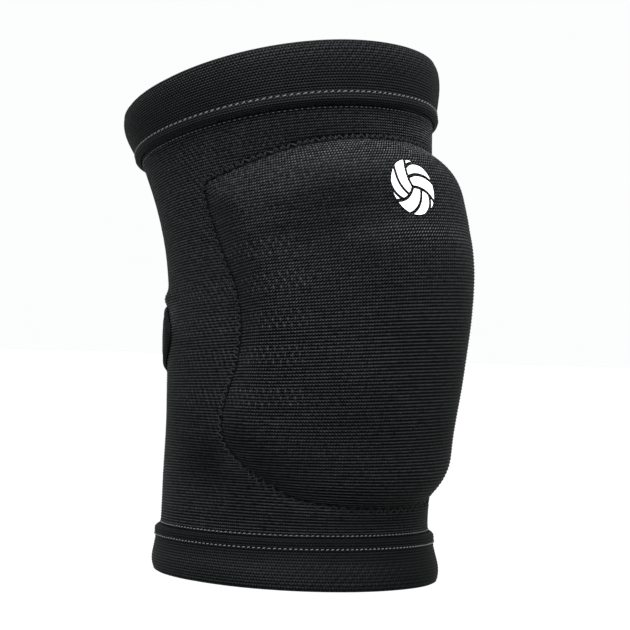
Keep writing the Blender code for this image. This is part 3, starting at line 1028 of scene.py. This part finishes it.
def makePad():
    centre = np.array([0.0, (pocketForm["top"] - pocketForm["bottom"]) / 2])
    rim = insetOutline(pocketForm["inset"], padCover["spokes"])
    shares = np.linspace(0, 1, padCover["rings"]) ** padCover["crowding"]
    under = centre + (rim[None] - centre) * shares[:, None, None]
    over = under[::-1][1:]
    flat = np.concatenate([under, over])
    upper = np.concatenate([np.zeros(len(under)), np.ones(len(over))])[:, None, None]
    turn, height = flat[..., 0] / legForm["radius"], flat[..., 1]
    low = clothPoint(turn, height, 0, bulged=False)
    high = clothPoint(turn, height, -pocketForm["clearance"])
    points = low * (1 - upper) + high * upper
    return discMesh("pad_insert_cover", flat, points, padLook, "black_pad_cloth")


# Oval panel behind the knee

backPanel = {
    "centre": -0.010,
    "height": 0.043,
    "spread": math.radians(62),
    "thickness": 0.0025,
    "edge": 0.0012,
    "rimRun": 0.05,
    "rimShare": 0.35,
    "sewnAt": 0.90,
    "sewnDip": 0.0004,
    "sewnWidth": 0.025,
    "stitchDepth": 0.0003,
    "stitchPoints": 200,
    "spokes": 120,
    "rings": 18,
}
panelLook = dict(
    cuffLook,
    ridgeColour=(0.0135, 0.0147, 0.0152),
    gapHoleAndShadeColour=(0.0006, 0.0007, 0.0008),
)


def makePanel():
    angle = evenTurns(backPanel["spokes"])
    across, upward = backPanel["spread"] * np.cos(angle), backPanel["height"] / 2 * np.sin(angle)
    centre = np.array([math.pi, backPanel["centre"]])
    shares = np.linspace(0, 1, backPanel["rings"])
    under = centre + np.stack([across, upward], -1)[None] * shares[:, None, None]
    edge = backPanel["edge"] * np.clip((1 - shares) / backPanel["rimRun"], backPanel["rimShare"], 1)
    crown = (backPanel["thickness"] - backPanel["edge"]) * np.sqrt(np.clip(1 - shares**2, 0, 1))
    topOut = outerWall + edge + crown
    topOut -= backPanel["sewnDip"] * bellCurve(shares - backPanel["sewnAt"], backPanel["sewnWidth"])
    out = np.concatenate([np.full(backPanel["rings"], outerWall), topOut[::-1]])
    flat = np.concatenate([under, under[::-1]])
    points = clothPoint(flat[..., 0], flat[..., 1], out[:, None])
    return discMesh("back_panel_knit", flat * (legForm["radius"], 1), points, panelLook, "black_panel_knit")


# Printed mark above the kneecap: a plain ball of nine curved panels

printMark = {
    "size": 0.0245,
    "film": 0.00022,
    "height": 0.0385,
    "turn": math.radians(-4.5),
    "gap": 0.0015,
    "swirl": 0.32,
    "armPoints": 25,
    "grid": 0.0009,
    "probe": 0.001,
    "shortest": 1e-6,
    "finer": 8,
    "clear": 0.995,
    "every": 4,
    "joinWithin": 1e-7,
    "colour": (0.82, 0.83, 0.83),
    "finish": (0.5, 0.0, 0.4),
}


# Outlines of a volleyball's nine panels on a disc of radius 1
def ballPanels():
    last = printMark["armPoints"] - 1
    t = np.linspace(0, 1, last + 1)[:, None]
    rimTurn = [math.radians(90 + 120 * k) for k in range(4)]

    def arm(start, end):
        along = end - start
        side = np.array([-along[1], along[0]])
        return start + along * t + side * printMark["swirl"] * 2 * t * (1 - t)

    def rimPoint(angle):
        return np.array([math.cos(angle), math.sin(angle)])

    panels = []
    for k in range(3):
        first, second = rimTurn[k], rimTurn[k + 1]
        far = arm(np.zeros(2), rimPoint(second))
        cuts = []
        for j in range(4):
            cuts.append((far[round(j / 3 * last)], first + (second - first) * (j / 3)))
        for j in range(3):
            (startA, angleA), (startB, angleB) = cuts[j], cuts[j + 1]
            sideA = arm(startA, rimPoint(angleA))
            rim = np.stack([rimPoint(a) for a in np.linspace(angleA, angleB, last + 1)])
            sideB = arm(startB, rimPoint(angleB))[::-1] if j < 2 else rim[-1:]
            part = far[round(j / 3 * last) : round((j + 1) / 3 * last) + 1][::-1]
            panels.append(np.concatenate([sideA[:-1], rim[:-1], sideB[:-1], part[:-1]]))
    return panels


# Loop moved inward by inset, its left side being the inside, without the tips that cross
def shrunk(loop, inset):
    share = np.linspace(0, 1, printMark["finer"], endpoint=False)[:, None]
    steps = zip(loop, np.roll(loop, -1, axis=0) - loop)
    steps = [(a, step) for a, step in steps if np.linalg.norm(step) > printMark["shortest"]]
    loop = np.concatenate([a + step * share for a, step in steps])
    run = np.roll(loop, -1, axis=0) - loop
    ahead = run / np.linalg.norm(run, axis=1, keepdims=True)
    normal = np.stack([-ahead[:, 1], ahead[:, 0]], -1)
    moved = loop + run / 2 + normal * inset
    offset = moved[:, None] - loop
    along = np.clip((offset * run).sum(-1) / (run**2).sum(-1), 0, 1)
    nearest = np.linalg.norm(offset - along[..., None] * run, axis=-1).min(axis=1)
    return moved[nearest > inset * printMark["clear"]][:: printMark["every"]]


def makeMark():
    base, size = outerWall, printMark["size"] / 2
    turn, height, probe = printMark["turn"], printMark["height"], printMark["probe"]
    around = clothPoint(turn + probe, height, base) - clothPoint(turn - probe, height, base)
    upward = clothPoint(turn, height + probe, base) - clothPoint(turn, height - probe, base)
    perTurn, perHeight = (np.linalg.norm(run) / (2 * probe) for run in (around, upward))
    ticks = np.arange(-size, size, printMark["grid"])
    inside = np.stack(np.meshgrid(ticks, ticks), -1).reshape(-1, 2)
    vertices, faces = [], []
    for panel in ballPanels():
        loop = shrunk(panel * size, printMark["gap"] / 2)
        count = len(loop)
        edges = [(i, (i + 1) % count) for i in range(count)]
        spots = [Vector(p) for p in np.concatenate([loop, inside])]
        made = delaunay_2d_cdt(spots, edges, [], 1, printMark["joinWithin"])
        start = len(vertices)
        vertices += [tuple(v) for v in made[0]]
        faces += [tuple(start + i for i in face) for face in made[2]]
    used = sorted({i for face in faces for i in face})
    renumber = {old: new for new, old in enumerate(used)}
    flat = np.array(vertices)[used]
    faces = [tuple(renumber[i] for i in face) for face in faces]
    points = clothPoint(turn + flat[:, 0] / perTurn, height + flat[:, 1] / perHeight, base)
    mesh = bpy.data.meshes.new("print_mark_film")
    mesh.from_pydata(points, [], faces)
    mesh.materials.append(plainMaterial("white_film", printMark["colour"], printMark["finish"]))
    mark = makePiece("print_mark_film", mesh)
    film = mark.modifiers.new("Film", "SOLIDIFY")
    film.thickness = printMark["film"]
    film.offset = 1
    return mark


# Sewn lines

stitchKinds = {
    "loops": dict(Pitch=0.0029, Length=0.0016, Thread=0.00058, Lift=0.0002, Slant=0.30, Looseness=0.14),
    "dashes": dict(Pitch=0.0024, Length=0.0013, Thread=0.00032, Lift=0.0001, Looseness=0.05),
    "dots": dict(Pitch=0.0022, Length=0.0011, Thread=0.00046, Lift=0.00015, Slant=0.15, Looseness=0.16),
    "bottom": dict(Pitch=0.0022, Length=0.0036, Thread=0.00034, Lift=0.0002, Zigzag=0.90, Looseness=0.30),
    "sides": dict(Pitch=0.0017, Length=0.0027, Thread=0.00040, Lift=0.0002, Zigzag=0.95, Looseness=0.35),
    "ladder": dict(Pitch=0.0025, Length=0.0032, Thread=0.0009, Slant=0.25, Zigzag=0.75, Looseness=0.2),
    "panel": dict(Pitch=0.0026, Length=0.0015, Thread=0.0003, Lift=0.0001, Looseness=0.08),
}

# The crease's cord, a near-black tube sunk in the crease that stands in as painted shadow, and how the
# seam's thread straddles it. Its ends overlap at two corners.
pocketSeam = {
    "points": 500,
    "cordInside": 0.0006,
    "cordDepth": 0.0005,
    "cordThread": 0.0009,
    "cordPitch": 0.0012,
    "outside": 0.0008,
    "depth": 0.0002,
    "bottomBelow": -0.064,
    "ladderFrom": 0.84,
    "ladderDepth": 0.0005,
    "endReach": 0.008,
    "endShift": (0.0008, 0.0010),
    "ends": (("seam_end_upper", -79, 0.0500), ("seam_end_lower", -58, -0.0690)),
}


roundPoints = 360


def sewRound(name, height, out, kind, seed, thread):
    turn = np.linspace(0, math.tau, roundPoints, endpoint=False)
    line = sewnLine(name, turn, tilted(np.full_like(turn, height), turn), out)
    return runTree(line, stitches, dict(stitchKinds[kind], Seed=seed, Material=thread))


def sewAlong(name, flat, out, kind, seed, thread):
    line = sewnLine(name, flat[:, 0] / legForm["radius"], flat[:, 1], out, closed=False)
    return runTree(line, stitches, dict(stitchKinds[kind], Seed=seed, Material=thread))


def onCuff(band):
    share = band["stitchShare"]
    stand = float(smoothThrough(np.array(share), band["face"]["rise"], band["face"]["stand"]))
    out = outerWall + legForm["cuffLayer"] * stand
    return band["foot"] + (band["rim"] - band["foot"]) * share, out


def besideCuff(band):
    return band["foot"] + band["seamOffset"], legForm["wall"]


def makeTopStitches(thread):
    rows = (
        ("upper_cuff_loops", *onCuff(upperBand), "loops"),
        ("upper_seam_dashes", *besideCuff(upperBand), "dashes"),
        ("lower_cuff_dots", *onCuff(lowerBand), "dots"),
        ("lower_seam_dots", *besideCuff(lowerBand), "dots"),
    )
    return [sewRound(*row, seed, thread) for seed, row in enumerate(rows, 1)]


def makePocketSeam(thread, creaseShadowPaint):
    wall = legForm["wall"]
    # near-black cord sunk in the crease: painted shadow along the seam
    crease = insetOutline(pocketSeam["cordInside"], pocketSeam["points"])
    turn, height = crease[:, 0] / legForm["radius"], crease[:, 1]
    line = sewnLine("pocket_seam_crease", turn, height, wall - pocketSeam["cordDepth"])
    values = {"Thread": pocketSeam["cordThread"], "Pitch": pocketSeam["cordPitch"], "Material": creaseShadowPaint}
    made = [runTree(line, cord, values)]
    seam = insetOutline(-pocketSeam["outside"], pocketSeam["points"])
    low = seam[:, 1] < pocketSeam["bottomBelow"]
    seam = np.roll(seam, -int(np.argmax(low)), axis=0)
    count = int(low.sum())
    out = wall - pocketSeam["depth"]
    made.append(sewAlong("pocket_seam_bottom", seam[:count], out, "bottom", 5, thread))
    made.append(sewAlong("pocket_seam_sides", seam[count - 1 :], out, "sides", 5, thread))
    top = seam[seam[:, 1] > pocketForm["top"] * pocketSeam["ladderFrom"]]
    top = top[np.argsort(top[:, 0])]
    out = wall - pocketSeam["ladderDepth"]
    made.append(sewAlong("pocket_seam_top", top, out, "ladder", 8, thread))
    for name, degrees, height in pocketSeam["ends"]:
        end = (math.radians(degrees) * legForm["radius"], height)
        near = np.hypot(*(seam - end).T) < pocketSeam["endReach"]
        made.append(sewAlong(name, seam[near] + pocketSeam["endShift"], wall, "bottom", 7, thread))
    return made


def makePanelStitches(thread):
    angle = np.linspace(0, math.tau, backPanel["stitchPoints"], endpoint=False)
    share = backPanel["sewnAt"]
    turn = math.pi + backPanel["spread"] * share * np.cos(angle)
    height = backPanel["centre"] + backPanel["height"] / 2 * share * np.sin(angle)
    crown = (backPanel["thickness"] - backPanel["edge"]) * math.sqrt(1 - share**2)
    out = outerWall + backPanel["edge"] + crown - backPanel["stitchDepth"]
    line = sewnLine("back_panel_stitches", turn, height, out)
    return runTree(line, stitches, dict(stitchKinds["panel"], Seed=6, Material=thread))


print("growing the knit")
ribs = ribTree()
stitches = stitchTree()
cord = cordTree()
sleeve = makeSleeve()
cuffMaterial = knitMaterial("black_cuff_rib", cuffLook)
upperCuff = makeCuff("upper_cuff_knit", upperBand, cuffMaterial)
lowerCuff = makeCuff("lower_cuff_knit", lowerBand, cuffMaterial)
print("filling the pocket")
pad = makePad()
panel = makePanel()
print("printing the mark")
mark = makeMark()
print("sewing")
threads = [threadMaterial(name, *look) for name, look in threadColours.items()]
lightThread, greyThread, creaseShadowMaterial = threads
sewn = makeTopStitches(lightThread)
sewn += makePocketSeam(greyThread, creaseShadowMaterial)
sewn.append(makePanelStitches(greyThread))

for piece, node, slot in (
    (sleeve, "sleeve", "knit"),
    (upperCuff, "upper_cuff", "cuff_rib"),
    (lowerCuff, "lower_cuff", "cuff_rib"),
    (pad, "pad_insert", "pad_cloth"),
    (panel, "back_panel", "panel_knit"),
    (mark, "print_mark", "white_print"),
):
    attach(piece, "root")
    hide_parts(node)
for piece in sewn:
    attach(piece, "root")


# Studio: pale floor far below, a broad soft light from the upper left and a white surround

studio = {
    "floorHeight": -0.30,
    "floorSize": 40,
    "floorColour": (0.262, 0.264, 0.266),
    "floorFinish": (0.9, 0.0, 0.1),
    "surround": (0.975, 0.98, 0.985),
    "sun": 10.0,
    "sunSpread": math.radians(60),
    "sunFrom": Vector((-0.20, -0.28, 1.0)),
}


def makeFloor():
    size = studio["floorSize"]
    corners = [(-size, -size), (size, -size), (size, size), (-size, size)]
    mesh = bpy.data.meshes.new("studio_floor")
    mesh.from_pydata([(x, y, studio["floorHeight"]) for x, y in corners], [], [(0, 1, 2, 3)])
    mesh.materials.append(plainMaterial("floor_white", studio["floorColour"], studio["floorFinish"]))
    floor = makePiece("studio_floor", mesh)


def makeSurround():
    world = bpy.data.worlds.new("studio_white")
    bpy.context.scene.world = world
    world.use_nodes = True
    world.node_tree.nodes["Background"].inputs["Color"].default_value = (*studio["surround"], 1)


def makeSun():
    light = bpy.data.lights.new("soft_key", "SUN")
    light.energy = studio["sun"]
    light.angle = studio["sunSpread"]
    key = bpy.data.objects.new("soft_key", light)
    key.rotation_mode = "QUATERNION"
    key.rotation_quaternion = studio["sunFrom"].to_track_quat("Z", "Y")
    bpy.context.scene.collection.objects.link(key)


# Level with the knee and 45 degrees round to its right, rolled a little
cameraForm = {
    "azimuth": math.radians(-45),
    "distance": 0.95,
    "height": -0.014,
    "roll": -0.032,
    "focalPixels": 2184,
    "axisPixel": (300.6, 346.3),
    "imageSide": 630,
    "sensor": 36,
    "clipStart": 0.01,
}


def makeCamera():
    azimuth, roll, side = (cameraForm[key] for key in ("azimuth", "roll", "imageSide"))
    right = Vector((math.cos(azimuth), math.sin(azimuth), 0))
    back = Vector((math.sin(azimuth), -math.cos(azimuth), 0))
    up = Vector((0, 0, 1))
    data = bpy.data.cameras.new("camera")
    data.sensor_width = cameraForm["sensor"]
    data.lens = cameraForm["focalPixels"] * cameraForm["sensor"] / side
    data.shift_x = (side / 2 - cameraForm["axisPixel"][0]) / side
    data.shift_y = (cameraForm["axisPixel"][1] - side / 2) / side
    data.clip_start = cameraForm["clipStart"]
    camera = bpy.data.objects.new("camera", data)
    bpy.context.scene.collection.objects.link(camera)
    turnedRight = right * math.cos(roll) - up * math.sin(roll)
    turnedUp = right * math.sin(roll) + up * math.cos(roll)
    place = Matrix((turnedRight, turnedUp, back)).transposed().to_4x4()
    place.translation = back * cameraForm["distance"] + Vector((0, 0, cameraForm["height"]))
    camera.matrix_world = place
    bpy.context.scene.camera = camera


print("setting up the studio")
makeFloor()
makeSurround()
makeSun()
makeCamera()
bpy.context.scene.view_settings.view_transform = "Standard"
